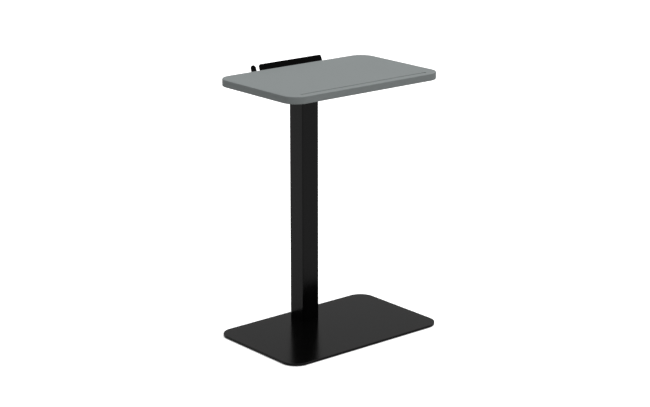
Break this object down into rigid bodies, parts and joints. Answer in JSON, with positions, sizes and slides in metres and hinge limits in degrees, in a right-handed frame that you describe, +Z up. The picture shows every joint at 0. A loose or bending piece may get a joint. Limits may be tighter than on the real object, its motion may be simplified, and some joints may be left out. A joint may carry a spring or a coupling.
{
  "type": "tablet stand side table",
  "caption": "C-shaped side table with a board top on an offset square steel column, a flat steel base, a rear tablet trough with a cable slot, and a pen groove.",
  "frame": {"origin": "on the floor under the glides, at the middle of the whole object's outer box", "axes": "+Z up; +X along the board's long side, with the cable slot near the -X end of the tablet holder; -Y towards the user's edge, +Y towards the tablet holder"},
  "size_m": [0.477, 0.322, 0.66],
  "materials": {
    "board_finish": "smooth matte grey lacquer over the whole board, edges included",
    "powder_coat": "fine-textured satin black powder coat on steel",
    "plain_steel": "machined mild steel block, oiled",
    "zinc_screw": "bright zinc plate",
    "black_screw": "black oxide",
    "insert_brass": "turned brass",
    "glide_nylon": "moulded dark nylon"
  },
  "bodies": {
    "root": {"tabletop": "board_finish", "tabletop_insert_1": "insert_brass", "tabletop_insert_2": "insert_brass", "tabletop_insert_3": "insert_brass", "tabletop_insert_4": "insert_brass", "tabletop_insert_5": "insert_brass", "tabletop_insert_6": "insert_brass", "column_head_plate": "powder_coat", "head_plate_screw_1": "black_screw", "head_plate_screw_2": "black_screw", "head_plate_screw_3": "black_screw", "head_plate_screw_4": "black_screw", "head_plate_screw_5": "black_screw", "head_plate_screw_6": "black_screw", "column_tube": "powder_coat", "column_foot_block": "plain_steel", "base_plate": "powder_coat", "base_screw_1": "zinc_screw", "base_screw_2": "zinc_screw", "base_screw_3": "zinc_screw", "base_screw_4": "zinc_screw", "glide_1": "glide_nylon", "glide_2": "glide_nylon", "glide_3": "glide_nylon", "glide_4": "glide_nylon", "tablet_holder": "powder_coat", "holder_screw_1": "black_screw", "holder_screw_2": "black_screw", "holder_screw_3": "black_screw", "holder_screw_4": "black_screw"}
  },
  "joints": []
}
